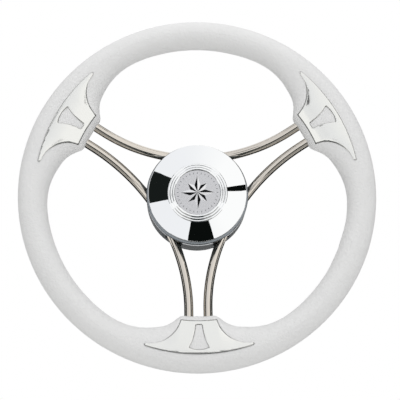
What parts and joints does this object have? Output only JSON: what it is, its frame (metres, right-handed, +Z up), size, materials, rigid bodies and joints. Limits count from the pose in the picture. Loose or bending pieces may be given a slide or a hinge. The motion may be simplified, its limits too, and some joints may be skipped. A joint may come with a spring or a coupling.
{
  "type": "boat steering wheel",
  "caption": "Boat steering wheel with a pale foam rim, bent stainless rods in pairs, chromed inserts and a hub cover over a tapered shaft socket.",
  "frame": {"origin": "on the wheel's axis, in the rear face of the hub boss, where the helm shaft goes in", "axes": "+Y along the wheel's axis towards the boat's dashboard, the wheel's face looks towards -Y, +Z up through the gap of the top bow"},
  "size_m": [0.35, 0.063, 0.35],
  "materials": {
    "rim_foam": "pale moulded polyurethane with a fine grain",
    "plain_steel": "turned and sawn steel",
    "spoke_steel": "polished stainless rod",
    "chromed_cover": "mirror chrome on moulded plastic",
    "chromed_insert": "mirror chrome on moulded plastic",
    "collar_metal": "satin chrome band",
    "cup_plastic": "dark satin moulded plastic",
    "badge_metal": "satin disc",
    "seal_rubber": "black rubber",
    "screw_steel": "plain stainless screws"
  },
  "bodies": {
    "root": {"rim_grip": "rim_foam", "rim_core": "plain_steel", "hub_plate": "plain_steel", "hub_boss": "plain_steel", "boss_weld": "plain_steel", "bow_welds": "plain_steel", "front_cover": "chromed_cover", "badge_disc": "badge_metal", "cover_seal": "seal_rubber", "hub_collar": "collar_metal", "rear_cup": "cup_plastic", "collar_spacers": "plain_steel", "collar_screws": "screw_steel", "cup_screws": "screw_steel", "bow_top": "spoke_steel", "bow_left": "spoke_steel", "bow_right": "spoke_steel", "insert_left": "chromed_insert", "insert_right": "chromed_insert", "insert_bottom": "chromed_insert"}
  },
  "joints": []
}
